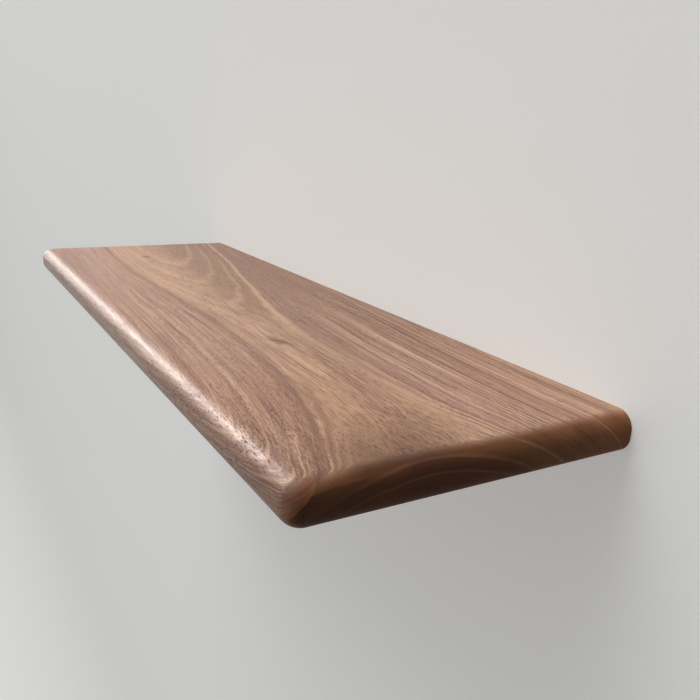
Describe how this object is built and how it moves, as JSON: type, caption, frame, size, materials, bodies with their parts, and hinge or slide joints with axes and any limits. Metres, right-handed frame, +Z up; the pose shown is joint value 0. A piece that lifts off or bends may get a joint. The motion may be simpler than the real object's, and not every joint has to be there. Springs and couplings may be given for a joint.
{
  "type": "floating wall shelf",
  "caption": "Floating wall shelf: a solid walnut board with rounded edges that slides over concealed steel rods on wall plates.",
  "frame": {"origin": "on the wall plane, in the middle of the board's back face, at mid thickness", "axes": "+X along the board to the right as seen from in front, +Y into the wall, +Z up"},
  "size_m": [0.6, 0.239, 0.023],
  "materials": {
    "walnut": "satin oil on flat-sawn walnut",
    "plated_plate": "zinc-plated steel",
    "bright_rod": "bright drawn steel",
    "black_screw": "black oxide steel",
    "plated_screw": "yellow zinc-plated steel",
    "nylon_plug": "moulded grey nylon",
    "brass_insert": "turned brass"
  },
  "bodies": {
    "wall_supports": {"left_wall_plate": "plated_plate", "left_support_rod": "bright_rod", "left_rod_screw": "black_screw", "left_outer_wall_screw": "plated_screw", "left_outer_wall_plug": "nylon_plug", "left_inner_wall_screw": "plated_screw", "left_inner_wall_plug": "nylon_plug", "right_wall_plate": "plated_plate", "right_support_rod": "bright_rod", "right_rod_screw": "black_screw", "right_outer_wall_screw": "plated_screw", "right_outer_wall_plug": "nylon_plug", "right_inner_wall_screw": "plated_screw", "right_inner_wall_plug": "nylon_plug"},
    "shelf_board": {"walnut_board": "walnut", "left_threaded_insert": "brass_insert", "right_threaded_insert": "brass_insert"},
    "left_lock_screw": {"left_lock_screw": "black_screw"},
    "right_lock_screw": {"right_lock_screw": "black_screw"}
  },
  "joints": [
    {"name": "board_slide", "type": "slide", "parent": "wall_supports", "child": "shelf_board", "axis": [0, -1, 0], "range_m": [0, 0.135]},
    {"name": "left_lock_screw_travel", "type": "slide", "parent": "shelf_board", "child": "left_lock_screw", "axis": [0, 0, -1], "range_m": [0, 0.0024]},
    {"name": "right_lock_screw_travel", "type": "slide", "parent": "shelf_board", "child": "right_lock_screw", "axis": [0, 0, -1], "range_m": [0, 0.0024]}
  ]
}
